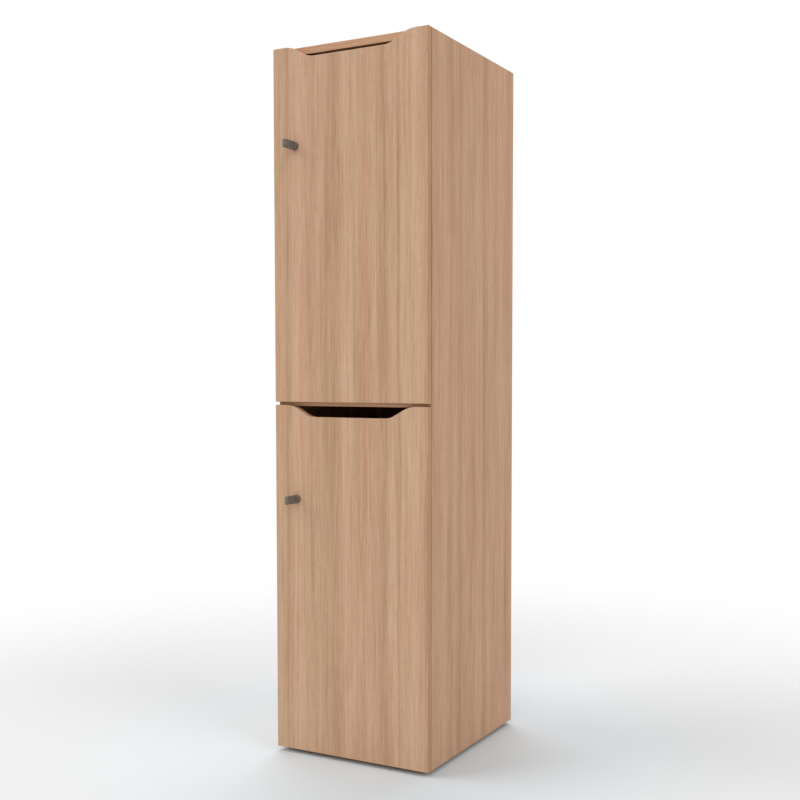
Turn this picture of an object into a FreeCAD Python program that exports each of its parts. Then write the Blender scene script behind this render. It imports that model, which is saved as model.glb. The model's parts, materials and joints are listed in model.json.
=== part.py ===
import FreeCAD, Part
import math
import os
import re
import Sketcher
from FreeCAD import Placement, Rotation, Vector

# A free-standing staff locker of faced board, with two doors one above the other.
# X runs to the right, Y to the back and Z up. The origin is on the floor, under the middle of the whole.
# Lengths are in millimetres.

SIZES = {
    # The carcass and its boards
    "locker_width": 450,
    "locker_height": 1820,
    "locker_depth": 500,
    "board": 18,
    "foot_gap": 12,
    "back_board": 8,
    "back_inset": 12,
    "groove_depth": 8,
    "edge_round": 0.8,
    # The doors
    "door_board": 18,
    "door_edge_round": 2,
    "door_gap": 1.2,
    "door_reveal": 0.5,
    "doors_apart": 8,
    "lower_door_height": 900,
    "divider_drop": 2,
    "cutout_depth": 30,
    "cutout_in": 54.9,
    "cutout_slope": 52,
    "cutout_shoulder": 80,
    "cutout_bend": 60,
    # The carcass joints
    "fitting_front_in": 50,
    "fitting_rear_in": 80,
    "dowel_apart": 32,
    "dowel_radius": 4,
    "dowel_in_side": 12,
    "dowel_in_shelf": 18,
    "cam_fitting_radius": 7.5,
    "cam_fitting_height": 13,
    "cam_fitting_in": 34,
    "bolt_radius": 3.5,
    "bolt_thread_radius": 2.5,
    "bolt_thread": 11,
    "bolt_bite": 3,
    # The turn knob, lock housing and cam
    "knob_in": 66,
    "upper_knob_drop": 250,
    "lower_knob_drop": 242,
    "knob_reach": 50,
    "knob_radius": 11,
    "knob_half_thick": 5,
    "knob_round": 3.5,
    "collar_radius": 11,
    "collar_length": 13,
    "collar_round": 0.8,
    "slip": 0.4,
    "barrel_radius": 8.5,
    "barrel_proud": 9,
    "spindle_radius": 4,
    "running_play": 0.05,
    "square_side": 5,
    "nut_circle": 13.5,
    "nut_height": 3.5,
    "nut_chamfer": 0.9,
    "cam_long": 43,
    "cam_half_width": 7,
    "cam_hub_radius": 9.5,
    "cam_thick": 2.5,
    "cam_edge": 0.5,
    "cam_screw_head": 5,
    "cam_screw_head_height": 2.2,
    "cam_screw_radius": 2,
    "cam_screw_long": 10,
    # The strike plate
    "strike_thick": 1.5,
    "strike_play": 1,
    "strike_lip": 14,
    "strike_long": 26,
    "strike_half_height": 20,
    "strike_bend": 1,
    "strike_screw_in": 16,
    "strike_screw_up": 12,
    # Small wood screws
    "screw_radius": 1.75,
    "screw_long": 13,
    "screw_head_radius": 3.6,
    "screw_head_height": 1.4,
    # The cup hinges: in is from the door's outer edge, past is from the side's inner face,
    # sunk is from the door's back face and back is from a plane that stands so far behind that face
    "hinge_stand": 2,
    "hinge_from_end": 100,
    "cup_in": 22.5,
    "cup_radius": 17.5,
    "cup_depth": 12.4,
    "cup_wall": 0.8,
    "flange_thick": 0.8,
    "flange_edge": 19,
    "wing_half_height": 30,
    "wing_in": 9.5,
    "wing_half_width": 8,
    "wing_corner": 4,
    "wing_screw_up": 24,
    "hinge_pin_radius": 1.5,
    "eye_radius": 2.7,
    "cup_eye_radius": 2.3,
    "link_half_thick": 1,
    "inner_link_half": 2.8,
    "outer_cheek_near": 3.4,
    "outer_cheek_far": 5.4,
    "arm_cheek_near": 5.9,
    "arm_cheek_far": 7.4,
    "arm_pivot_past": 9.5,
    "arm_pivot_back": 12,
    "cup_pivot_in": 9.3,
    "cup_pivot_sunk": 5.5,
    "inner_pivot_past": 16.5,
    "inner_end_in": 13,
    "inner_end_sunk": 5,
    "arm_low_past": 4,
    "arm_high_past": 19.5,
    "arm_web_back": 24,
    "arm_end_back": 76,
    "arm_web_thick": 1.5,
    "plate_thick": 2,
    "plate_front_back": 22,
    "plate_end_back": 72,
    "plate_screw_back": 37,
    "plate_wing_half": 24,
    "plate_wing_half_width": 8,
    "plate_screw_up": 16,
    "ridge_half": 5.6,
    "ridge_past": 13.5,
    "arm_screw_back": 48,
    "arm_screw_radius": 3,
    "arm_screw_head": 4.6,
    "arm_screw_head_height": 2.5,
    "set_screw_back": 30,
    "set_screw_radius": 2,
    "set_screw_head": 3.2,
    "set_screw_head_height": 1.6,
    # The buffers and coat hooks
    "buffer_radius": 4,
    "buffer_play": 0.3,
    "buffer_from_end": 40,
    "hook_drop": 90,
    "hook_plate_half_width": 16,
    "hook_plate_half_height": 24,
    "hook_plate_thick": 3,
    "hook_plate_corner": 5,
    "hook_plate_edge": 1,
    "hook_rod_radius": 3.5,
    "hook_rod_down": 8,
    "hook_rod_long": 24,
    "hook_bend": 13,
    "hook_rise": 10,
    "hook_ball": 6,
    "hook_screw_up": 15,
    # The levelling feet
    "foot_side_in": 90,
    "foot_end_in": 70,
    "pad_radius": 15,
    "pad_foot": 3,
    "pad_top_radius": 10,
    "pad_skirt": 5.5,
    "pad_collar_circle": 9,
    "pad_height": 8,
    "stem_radius": 4,
    "stem_in_pad": 5,
    "stem_below_base_top": 4,
    "sleeve_radius": 6,
    "sleeve_length": 13,
}

# Places worked out from the sizes
PLACES = {
    "door_front": "(knob_reach - locker_depth) / 2",
    "door_back": "door_front + door_board",
    "case_front": "door_back + door_gap",
    "case_back": "door_front + locker_depth",
    "case_depth": "locker_depth - door_board - door_gap",
    "case_height": "locker_height - foot_gap",
    "side_out": "locker_width / 2",
    "side_in": "locker_width / 2 - board",
    "inner_width": "locker_width - 2 * board",
    "back_face": "case_back - back_inset - back_board",
    "lower_top": "foot_gap + lower_door_height",
    "upper_bottom": "lower_top + doors_apart",
    "upper_door_height": "locker_height - upper_bottom",
    "divider_low": "lower_top - divider_drop",
    "top_low": "locker_height - board",
    "door_width": "locker_width - 2 * door_reveal",
    "hinge_edge": "locker_width / 2 - door_reveal",
    "knob_x": "knob_in - hinge_edge",
    "upper_knob_z": "locker_height - upper_knob_drop",
    "lower_knob_z": "lower_top - lower_knob_drop",
    "barrel_end": "door_back + barrel_proud",
    "cam_front": "barrel_end + slip",
    "cam_back": "cam_front + cam_thick",
    "strike_front": "cam_front - strike_play - strike_thick",
    "hinge_front": "door_back + hinge_stand",
    "fitting_front": "case_front + fitting_front_in",
    "fitting_rear": "case_back - fitting_rear_in",
    "dowel_front": "fitting_front + dowel_apart",
    "dowel_rear": "fitting_rear - dowel_apart",
    "foot_front": "case_front + foot_end_in",
    "foot_rear": "case_back - foot_end_in",
    "foot_side": "side_out - foot_side_in",
    "stem_top": "foot_gap + board - stem_below_base_top",
    "stem_bottom": "pad_height - stem_in_pad",
    "cup_x": "hinge_edge - cup_in",
    "cup_floor": "door_back - cup_depth",
    "wing_x": "cup_x - wing_in",
    "cup_hole_radius": "cup_radius - cup_wall",
    "eye_bore": "hinge_pin_radius + running_play",
    "cup_mid_radius": "cup_radius - cup_wall / 2",
    "pin_offset": "cup_in - cup_pivot_in",
    "pin_reach": "sqrt(cup_mid_radius * cup_mid_radius - pin_offset * pin_offset)",
    "hook_y": "back_face - hook_plate_thick",
    "buffer_thick": "door_gap - buffer_play",
    "cutout_top_half": "door_width / 2 - cutout_in",
    "cutout_floor_half": "cutout_top_half - cutout_slope",
    # In a hinge's own plan, in from the door's outer edge and deep from the door's front face
    "side_face_in": "board - door_reveal",
    "stand_deep": "door_board + hinge_stand",
    "arm_pivot_in": "side_face_in + arm_pivot_past",
    "arm_pivot_deep": "stand_deep + arm_pivot_back",
    "cup_pivot_deep": "door_board - cup_pivot_sunk",
    "inner_pivot_in": "side_face_in + inner_pivot_past",
    "inner_end_deep": "door_board - inner_end_sunk",
    "arm_low_in": "side_face_in + arm_low_past",
    "arm_high_in": "side_face_in + arm_high_past",
    "arm_end_deep": "stand_deep + arm_end_back",
    "plate_front_deep": "stand_deep + plate_front_back",
}

# Where a link bends, in shares of the way from its cup end to its arm end: inward, then deep
OUTER_LINK_SHARES = ((0.75, 0.256), (0.694, -0.077), (0.5, -0.231), (0.25, -0.21))
INNER_LINK_SHARES = ((0.714, 0.214), (0.429, -0.286), (0.214, -0.429))

DOC = FreeCAD.newDocument("StaffLocker")
SHEET = DOC.addObject("Spreadsheet::Sheet", "Sizes")
NODES = []

# Which way a piece points when its own Z runs along an axis of the locker
ALONG = {
    "x": Rotation(Vector(0, 1, 0), 90),
    "y": Rotation(Vector(1, 0, 0), -90),
    "z": Rotation(),
}
# An outline drawn flat: seen from above, from the front or from the side
FROM_ABOVE = Rotation()
FROM_FRONT = Rotation(Vector(1, 0, 0), 90)
FROM_SIDE = Rotation(Vector(1, 1, 1), 120)
TINY = 1e-4


def fill_sheet():
    """Writes each size into its own cell and names the cell."""
    for row, (word, size) in enumerate(SIZES.items(), start=1):
        SHEET.set(f"A{row}", word)
        SHEET.set(f"B{row}", str(size))
        SHEET.setAlias(f"B{row}", word)
    DOC.recompute()


def sized(text):
    """Spells a rule out in cells of the sheet."""

    def spell(match):
        word = match.group(0)
        if word in PLACES:
            return f"({sized(PLACES[word])})"
        if word in SIZES:
            return f"Sizes.{word}"
        return word

    return re.sub(r"[A-Za-z_]\w*", spell, text)


def length(text):
    """The value of a rule, in millimetres."""
    return float(SHEET.evalExpression(sized(text)))


def tie(piece, **rules):
    """Binds a piece's own sizes to rules."""
    for name, text in rules.items():
        piece.setExpression(name, sized(text))


def put(piece, x="0", y="0", z="0", turn=None):
    """Places a piece by rules, turned as asked."""
    if turn is not None:
        piece.Placement = Placement(Vector(), turn)
    for axis, text in zip("xyz", (x, y, z)):
        if text != "0":
            piece.setExpression(f"Placement.Base.{axis}", sized(text))
    return piece


def node(piece, name):
    """Names a finished sub-part."""
    piece.Label = name
    NODES.append(piece)
    return piece


def block(name, corner, size):
    """A box from its low corner."""
    piece = DOC.addObject("Part::Box", name)
    tie(piece, Length=size[0], Width=size[1], Height=size[2])
    return put(piece, *corner)


def rod(name, along, start, radius, reach):
    """A round bar from start along an axis."""
    piece = DOC.addObject("Part::Cylinder", name)
    tie(piece, Radius=radius, Height=reach)
    return put(piece, *start, turn=ALONG[along])


def cone(name, along, start, radii, reach):
    """A taper from start along an axis."""
    piece = DOC.addObject("Part::Cone", name)
    tie(piece, Radius1=radii[0], Radius2=radii[1], Height=reach)
    return put(piece, *start, turn=ALONG[along])


def six_sided(name, along, start, circle, reach):
    """A six-sided bar from start along an axis."""
    piece = DOC.addObject("Part::Prism", name)
    piece.Polygon = 6
    tie(piece, Circumradius=circle, Height=reach)
    return put(piece, *start, turn=ALONG[along])


def group(name, pieces):
    """Several solids as one sub-part."""
    piece = DOC.addObject("Part::Compound", name)
    piece.Links = pieces
    return piece


def joined(name, pieces):
    """Several solids melted into one."""
    piece = DOC.addObject("Part::MultiFuse", name)
    piece.Shapes = pieces
    return piece


def shared(name, pieces):
    """What several solids have in common."""
    piece = DOC.addObject("Part::MultiCommon", name)
    piece.Shapes = pieces
    return piece


def without(name, base, tools):
    """A piece with holes where the tools go."""
    piece = DOC.addObject("Part::Cut", name)
    piece.Base = base
    piece.Tool = tools[0] if len(tools) == 1 else group(f"{name}_holes", tools)
    return piece


def origin_plane(body, role):
    """A body's own plane."""
    return next(f for f in body.Origin.OriginFeatures if f.Role == role)


def draw_outline(sketch, corners, closed=True):
    """Draws straight runs through corners, each held at its own two rules."""
    spots = [Vector(length(x), length(y), 0) for x, y in corners]
    runs = len(spots) if closed else len(spots) - 1
    for i in range(runs):
        sketch.addGeometry(Part.LineSegment(spots[i], spots[(i + 1) % len(spots)]))
    for i in range(runs - 1):
        sketch.addConstraint(Sketcher.Constraint("Coincident", i, 2, i + 1, 1))
    if closed:
        sketch.addConstraint(Sketcher.Constraint("Coincident", runs - 1, 2, 0, 1))
    for i, (rules, spot) in enumerate(zip(corners, spots)):
        line, end = (i, 1) if i < runs else (i - 1, 2)
        for kind, text, value in (("DistanceX", rules[0], spot.x), ("DistanceY", rules[1], spot.y)):
            held = sketch.addConstraint(Sketcher.Constraint(kind, -1, 1, line, end, value))
            sketch.setExpression(f"Constraints[{held}]", sized(text))


def upright_edges(shape, spots):
    """The edges of a padded outline that stand on some of its corners."""
    names = []
    for i, edge in enumerate(shape.Edges, start=1):
        ends = [v.Point for v in edge.Vertexes]
        if len(ends) != 2 or abs(ends[0].z - ends[1].z) < TINY:
            continue
        for spot in spots:
            if all(math.hypot(p.x - spot[0], p.y - spot[1]) < TINY for p in ends):
                names.append(f"Edge{i}")
    return names


def flat_face(shape, level):
    """The face of a padded outline that lies at a level of its own Z."""
    for i, face in enumerate(shape.Faces, start=1):
        box = face.BoundBox
        if abs(box.ZMin - level) < TINY and abs(box.ZMax - level) < TINY:
            return f"Face{i}"
    raise ValueError("no flat face there")


def centred(half_width, half_height):
    """The four corners of a rectangle about its own middle."""
    return ((f"-{half_width}", f"-{half_height}"), (half_width, f"-{half_height}"),
            (half_width, half_height), (f"-{half_width}", half_height))


def plate(name, corners, thick, view, start, rounds=(), soft_edges=()):
    """A flat outline given a thickness. Rounds are (radius, corner numbers).

    Soft edges are (radius, "near" or "far").
    """
    body = DOC.addObject("PartDesign::Body", name)
    sketch = body.newObject("Sketcher::SketchObject", f"{name}_outline")
    sketch.AttachmentSupport = (origin_plane(body, "XY_Plane"), "")
    sketch.MapMode = "FlatFace"
    draw_outline(sketch, corners)
    pad = body.newObject("PartDesign::Pad", f"{name}_pad")
    pad.Profile = sketch
    tie(pad, Length=thick)
    DOC.recompute()
    last = pad
    for i, (radius, which) in enumerate(rounds):
        spots = [(length(corners[k][0]), length(corners[k][1])) for k in which]
        fillet = body.newObject("PartDesign::Fillet", f"{name}_round{i}")
        fillet.Base = (last, upright_edges(last.Shape, spots))
        tie(fillet, Radius=radius)
        DOC.recompute()
        last = fillet
    for i, (radius, side) in enumerate(soft_edges):
        level = 0 if side == "near" else length(thick)
        fillet = body.newObject("PartDesign::Fillet", f"{name}_soft{i}")
        fillet.Base = (last, [flat_face(last.Shape, level)])
        tie(fillet, Radius=radius)
        DOC.recompute()
        last = fillet
    return put(body, *start, turn=view)


def band(name, corners, half_thick, thick, start):
    """A bent strip of even width, seen from above, with round ends and bends."""
    sketch = DOC.addObject("Sketcher::SketchObject", f"{name}_path")
    draw_outline(sketch, corners, closed=False)
    DOC.recompute()
    outline = DOC.addObject("Part::Offset2D", f"{name}_outline")
    outline.Source = sketch
    outline.Mode = "Pipe"
    outline.Join = "Arc"
    outline.Fill = True
    tie(outline, Value=half_thick)
    strip = DOC.addObject("Part::Extrusion", name)
    strip.Base = outline
    strip.DirMode = "Custom"
    strip.Dir = Vector(0, 0, 1)
    strip.Solid = True
    tie(strip, LengthFwd=thick)
    return put(strip, *start)


def turned(name, corners, start, soft=None):
    """A round piece turned about its own Y, from half its outline as (radius, height)."""
    body = DOC.addObject("PartDesign::Body", name)
    sketch = body.newObject("Sketcher::SketchObject", f"{name}_half")
    sketch.AttachmentSupport = (origin_plane(body, "XY_Plane"), "")
    sketch.MapMode = "FlatFace"
    draw_outline(sketch, corners)
    turn = body.newObject("PartDesign::Revolution", f"{name}_turn")
    turn.Profile = sketch
    turn.ReferenceAxis = (sketch, ["V_Axis"])
    turn.Angle = 360
    DOC.recompute()
    if soft:
        radius, corner = soft
        wide, high = length(corners[corner][0]), length(corners[corner][1])
        names = []
        for i, edge in enumerate(turn.Shape.Edges, start=1):
            box = edge.BoundBox
            if abs(box.YMax - high) < TINY and abs(box.YMin - high) < TINY and abs(box.XMax - wide) < TINY:
                names.append(f"Edge{i}")
        fillet = body.newObject("PartDesign::Fillet", f"{name}_soft")
        fillet.Base = (turn, names)
        tie(fillet, Radius=radius)
        DOC.recompute()
    return put(body, *start)


def screw(name, along, tip_first, start, sizes):
    """A pan-head screw, seated at start. Its shank runs on along the axis, or back when tip_first."""
    radius, long, head_radius, head_height = sizes
    axis = "xyz".index(along)
    shank_start, head_start = list(start), list(start)
    if tip_first:
        shank_start[axis] = f"{start[axis]} - {long}"
    else:
        head_start[axis] = f"{start[axis]} - {head_height}"
    return joined(name, [
        rod(f"{name}_shank", along, shank_start, radius, long),
        rod(f"{name}_head", along, head_start, head_radius, head_height),
    ])


WOOD_SCREW = ("screw_radius", "screw_long", "screw_head_radius", "screw_head_height")
fill_sheet()

# The boards before their holes are made
left_board = plate(
    "left_board",
    (("0", "0"), ("case_depth", "0"), ("case_depth", "case_height"), ("0", "case_height")),
    "board", FROM_SIDE, ("-side_out", "case_front", "foot_gap"),
    soft_edges=(("edge_round", "near"),),
)
right_board = plate(
    "right_board",
    (("0", "0"), ("case_depth", "0"), ("case_depth", "case_height"), ("0", "case_height")),
    "board", FROM_SIDE, ("side_in", "case_front", "foot_gap"),
    soft_edges=(("edge_round", "far"),),
)
SHELVES = {"top": ("top_low", "case_depth"), "divider": ("divider_low", "back_face - case_front"),
           "base": ("foot_gap", "case_depth")}
shelf_boards = {
    name: block(f"{name}_board", ("-side_in", "case_front", low), ("inner_width", deep, "board"))
    for name, (low, deep) in SHELVES.items()
}
whole_back = block(
    "whole_back", ("-side_in - groove_depth", "back_face", "foot_gap + board - groove_depth"),
    ("inner_width + 2 * groove_depth", "back_board", "top_low - foot_gap - board + 2 * groove_depth"),
)

# The dowels, cam fittings and bolts that hold the shelves between the sides
dowels, bolts, fittings = [], [], []
for shelf, (low, deep) in SHELVES.items():
    middle = f"{low} + board / 2"
    for side in ("left", "right"):
        for end in ("front", "rear"):
            tag = f"{shelf}_{side}_{end}"
            dowel_start = "-side_in - dowel_in_side" if side == "left" else "side_in - dowel_in_shelf"
            dowels.append(rod(f"dowel_{tag}", "x", (dowel_start, f"dowel_{end}", middle),
                              "dowel_radius", "dowel_in_side + dowel_in_shelf"))
            shank = "cam_fitting_in - cam_fitting_radius + bolt_bite"
            shank_start = "-side_in" if side == "left" else f"side_in - ({shank})"
            thread_start = "-side_in - bolt_thread" if side == "left" else "side_in"
            bolts.append(joined(f"bolt_{tag}", [
                rod(f"bolt_shank_{tag}", "x", (shank_start, f"fitting_{end}", middle),
                    "bolt_radius", shank),
                rod(f"bolt_thread_{tag}", "x", (thread_start, f"fitting_{end}", middle),
                    "bolt_thread_radius", "bolt_thread"),
            ]))
            fitting_x = "cam_fitting_in - side_in" if side == "left" else "side_in - cam_fitting_in"
            fittings.append(rod(f"fitting_{tag}", "z", (fitting_x, f"fitting_{end}", low),
                                "cam_fitting_radius", "cam_fitting_height"))
panel_dowels = node(group("panel_dowels", dowels), "panel_dowels")
cam_bolts = node(group("cam_bolts", bolts), "cam_bolts")
whole_fittings = group("whole_fittings", fittings)
cam_fittings = node(without("cam_fittings", whole_fittings, [cam_bolts]), "cam_fittings")

# The levelling feet: a threaded sleeve in the base, and a stem and a pad that screw up and down
FEET = {
    "front_left": ("-foot_side", "foot_front"), "front_right": ("foot_side", "foot_front"),
    "rear_left": ("-foot_side", "foot_rear"), "rear_right": ("foot_side", "foot_rear"),
}
sleeves, sleeve_holes, stem_holes = [], [], []
for corner, (x, y) in FEET.items():
    stem = rod(f"foot_stem_{corner}", "z", (x, y, "stem_bottom"), "stem_radius", "stem_top - stem_bottom")
    node(stem, f"foot_stem_{corner}")
    whole_pad = joined(f"whole_pad_{corner}", [
        rod(f"pad_foot_{corner}", "z", (x, y, "0"), "pad_radius", "pad_foot"),
        cone(f"pad_top_{corner}", "z", (x, y, "pad_foot"), ("pad_radius", "pad_top_radius"),
             "pad_skirt - pad_foot"),
        six_sided(f"pad_collar_{corner}", "z", (x, y, "pad_skirt"), "pad_collar_circle",
                  "pad_height - pad_skirt"),
    ])
    node(without(f"foot_pad_{corner}", whole_pad, [stem]), f"foot_pad_{corner}")
    sleeve_hole = rod(f"sleeve_hole_{corner}", "z", (x, y, "foot_gap"), "sleeve_radius", "sleeve_length")
    stem_hole = rod(f"stem_hole_{corner}", "z", (x, y, "foot_gap"),
                    "stem_radius + running_play", "board")
    sleeves.append(without(f"sleeve_{corner}", sleeve_hole, [stem_hole]))
    sleeve_holes.append(sleeve_hole)
    stem_holes.append(stem_hole)
node(group("foot_sleeves", sleeves), "foot_sleeves")

# The door buffers on the front edge of the left side
buffers = [
    rod(f"buffer_{i}", "y", ("board / 2 - side_out", "case_front - buffer_thick", height),
        "buffer_radius", "buffer_thick")
    for i, height in enumerate((
        "foot_gap + buffer_from_end", "lower_top - buffer_from_end",
        "upper_bottom + buffer_from_end", "locker_height - buffer_from_end",
    ))
]
node(group("door_buffers", buffers), "door_buffers")


def coat_hook(tier, ceiling):
    """A plate and a bent rod with a ball end, on the back panel under a ceiling. Gives its screws."""
    high = f"{ceiling} - hook_drop"
    base = plate(
        f"{tier}_hook_plate", centred("hook_plate_half_width", "hook_plate_half_height"),
        "hook_plate_thick", FROM_FRONT, ("0", "back_face", high),
        rounds=(("hook_plate_corner", (0, 1, 2, 3)),), soft_edges=(("hook_plate_edge", "far"),),
    )
    rod_z = f"{high} - hook_rod_down"
    elbow_y = "hook_y - hook_rod_long"
    elbow = DOC.addObject("Part::Torus", f"{tier}_hook_elbow")
    tie(elbow, Radius1="hook_bend", Radius2="hook_rod_radius")
    elbow.Angle3 = 90
    put(elbow, "0", elbow_y, f"{rod_z} + hook_bend",
        turn=Rotation(Vector(0, 0, -1), Vector(0, -1, 0), Vector(-1, 0, 0), "ZXY"))
    ball = DOC.addObject("Part::Sphere", f"{tier}_hook_ball")
    tie(ball, Radius="hook_ball")
    put(ball, "0", f"{elbow_y} - hook_bend", f"{rod_z} + hook_bend + hook_rise")
    whole = joined(f"{tier}_whole_hook", [
        base,
        rod(f"{tier}_hook_arm", "y", ("0", elbow_y, rod_z), "hook_rod_radius", "hook_rod_long"),
        elbow,
        rod(f"{tier}_hook_rise", "z", ("0", f"{elbow_y} - hook_bend", f"{rod_z} + hook_bend"),
            "hook_rod_radius", "hook_rise"),
        ball,
    ])
    screws = [
        screw(f"{tier}_hook_screw_{i}", "y", False, ("0", "hook_y", f"{high} {way} hook_screw_up"),
              ("screw_radius", "back_board", "screw_head_radius", "screw_head_height"))
        for i, way in enumerate("+-")
    ]
    node(without(f"{tier}_coat_hook", whole, screws), f"{tier}_coat_hook")
    return screws


hook_screws = coat_hook("upper", "top_low") + coat_hook("lower", "divider_low")
hook_screw_group = node(group("coat_hook_screws", hook_screws), "coat_hook_screws")
node(without("back_panel", whole_back, [hook_screw_group]), "back_panel")


def strike_plate(tier, high):
    """An angle on the left side, whose lip stands in front of the turned cam. Gives its screws."""
    angle = plate(
        f"{tier}_strike_angle",
        (("0", "0"), ("strike_lip", "0"), ("strike_lip", "strike_thick"), ("strike_thick", "strike_thick"),
         ("strike_thick", "strike_long"), ("0", "strike_long")),
        "2 * strike_half_height", FROM_ABOVE, ("-side_in", "strike_front", f"{high} - strike_half_height"),
        rounds=(("strike_bend", (3,)), ("strike_bend + strike_thick", (0,))),
    )
    screws = [
        screw(f"{tier}_strike_screw_{i}", "x", True,
              ("strike_thick - side_in", "strike_front + strike_screw_in", f"{high} {way} strike_screw_up"),
              ("screw_radius", "screw_long", "screw_head_radius", "screw_head_height"))
        for i, way in enumerate("+-")
    ]
    node(without(f"{tier}_strike_plate", angle, screws), f"{tier}_strike_plate")
    return screws


strike_screws = strike_plate("upper", "upper_knob_z") + strike_plate("lower", "lower_knob_z")
strike_screw_group = node(group("strike_screws", strike_screws), "strike_screws")


def in_hinge(inward, deep):
    """A corner in a hinge's own plan: X from the door's outer edge, Y from the door's front face."""
    return (f"-({inward})", f"{deep}")


def between(far, near, share):
    """A point some share of the way from the near rule to the far one."""
    return f"{near} + {share} * ({far} - {near})"


def link_path(arm_end, cup_end, shares):
    """The bent line of a link from its arm pivot to its cup pivot, through shares of the way."""
    path = [in_hinge(*arm_end)]
    for in_share, deep_share in shares:
        inward = between(arm_end[0], cup_end[0], in_share)
        deep = between(arm_end[1], cup_end[1], deep_share)
        path.append(in_hinge(inward, deep))
    path.append(in_hinge(*cup_end))
    return path


def hinge_rod(name, inward, deep, low, radius, tall):
    """An upright pin or eye in a hinge."""
    return rod(name, "z", (f"hinge_edge - ({inward})", f"door_front + {deep}", low), radius, tall)


def hinge(tag, high):
    """One cup hinge at a height. Gives its pieces by name."""
    pieces = {}
    # The cup with its wing plate, and the two pin stubs that stand in its walls
    wing = plate(
        f"{tag}_wing", centred("wing_half_width", "wing_half_height"),
        "flange_thick", FROM_FRONT, ("wing_x", "door_back + flange_thick", high),
        rounds=(("wing_corner", (0, 1, 2, 3)),),
    )
    shell = joined(f"{tag}_cup_shell", [
        wing,
        rod(f"{tag}_cup_rim", "y", ("cup_x", "door_back", high), "flange_edge", "flange_thick"),
        rod(f"{tag}_cup_outside", "y", ("cup_x", "cup_floor", high), "cup_radius", "cup_depth"),
    ])
    hollow = rod(f"{tag}_cup_inside", "y", ("cup_x", "cup_floor + cup_wall", high), "cup_hole_radius",
                 "cup_depth + flange_thick")
    stubs = [
        hinge_rod(f"{tag}_stub_{i}", "cup_pivot_in", "cup_pivot_deep", low, "hinge_pin_radius",
                  "pin_reach - inner_link_half - slip")
        for i, low in enumerate((f"{high} - pin_reach", f"{high} + inner_link_half + slip"))
    ]
    screws = [
        screw(f"{tag}_wing_screw_{i}", "y", True,
              ("wing_x", "door_back + flange_thick", f"{high} {way} wing_screw_up"), WOOD_SCREW)
        for i, way in enumerate("+-")
    ]
    open_cup = without(f"{tag}_open_cup", shell, [hollow] + screws)
    pieces["cup"] = joined(f"{tag}_cup", [open_cup] + stubs)
    pieces["cup_screws"] = screws
    pieces["cup_hole"] = rod(f"{tag}_cup_hole", "y", ("cup_x", "cup_floor", high),
                             "cup_radius", "cup_depth")
    # The outer link: two bent cheeks with eyes, joined by a sleeve round the arm's pin
    arm_pivot, cup_pivot = ("arm_pivot_in", "arm_pivot_deep"), ("cup_pivot_in", "cup_pivot_deep")
    outer_path = link_path(arm_pivot, cup_pivot, OUTER_LINK_SHARES)
    outer_thick = "outer_cheek_far - outer_cheek_near"
    outer = [hinge_rod(f"{tag}_outer_sleeve", *arm_pivot, f"{high} - outer_cheek_far", "eye_radius",
                       "2 * outer_cheek_far")]
    for i, low in enumerate((f"{high} - outer_cheek_far", f"{high} + outer_cheek_near")):
        outer.append(band(f"{tag}_outer_cheek_{i}", outer_path, "link_half_thick", outer_thick,
                          ("hinge_edge", "door_front", low)))
        outer.append(hinge_rod(f"{tag}_outer_eye_{i}", *cup_pivot, low, "cup_eye_radius", outer_thick))
    outer_bores = [
        hinge_rod(f"{tag}_outer_bore_{i}", *pivot, f"{high} - arm_cheek_far", "eye_bore",
                  "2 * arm_cheek_far")
        for i, pivot in enumerate((arm_pivot, cup_pivot))
    ]
    pieces["outer"] = without(f"{tag}_outer_link", joined(f"{tag}_outer_whole", outer), outer_bores)
    # The inner link: a narrow bent strip with an eye at the arm and its own short pin in the cup
    inner_pivot, inner_end = ("inner_pivot_in", "stand_deep"), ("inner_end_in", "inner_end_deep")
    inner_low = f"{high} - inner_link_half"
    inner = [
        band(f"{tag}_inner_strip", link_path(inner_pivot, inner_end, INNER_LINK_SHARES), "link_half_thick",
             "2 * inner_link_half", ("hinge_edge", "door_front", inner_low)),
        hinge_rod(f"{tag}_inner_eye", *inner_pivot, inner_low, "eye_radius", "2 * inner_link_half"),
        hinge_rod(f"{tag}_inner_end", *inner_end, inner_low, "eye_radius", "2 * inner_link_half"),
    ]
    inner_bore = hinge_rod(f"{tag}_inner_bore", *inner_pivot, f"{high} - arm_cheek_far", "eye_bore",
                           "2 * arm_cheek_far")
    pieces["inner"] = without(f"{tag}_inner_link", joined(f"{tag}_inner_whole", inner), [inner_bore])
    # The arm: a channel over the mounting plate, whose two cheeks hold both pins
    cheek = [
        in_hinge("arm_low_in", "arm_end_deep"), in_hinge("arm_low_in", "plate_front_deep"),
        in_hinge("arm_pivot_in - eye_radius", "arm_pivot_deep - eye_radius"),
        in_hinge("inner_pivot_in - eye_radius", "stand_deep - eye_radius"),
        in_hinge("inner_pivot_in + link_half_thick", "stand_deep - eye_radius"),
        in_hinge("arm_high_in", "stand_deep + eye_radius"), in_hinge("arm_high_in", "arm_end_deep"),
    ]
    arm = [
        plate(f"{tag}_arm_cheek_{i}", cheek, "arm_cheek_far - arm_cheek_near", FROM_ABOVE,
              ("hinge_edge", "door_front", low))
        for i, low in enumerate((f"{high} - arm_cheek_far", f"{high} + arm_cheek_near"))
    ]
    arm_x = "side_in - arm_high_past"
    arm.append(block(f"{tag}_arm_web", (arm_x, "hinge_front + arm_web_back", f"{high} - arm_cheek_far"),
                     ("arm_web_thick", "arm_end_back - arm_web_back", "2 * arm_cheek_far")))
    pins = [
        hinge_rod(f"{tag}_pin_{i}", *pivot, f"{high} - arm_cheek_far", "hinge_pin_radius",
                  "2 * arm_cheek_far")
        for i, pivot in enumerate((arm_pivot, inner_pivot))
    ]
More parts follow.
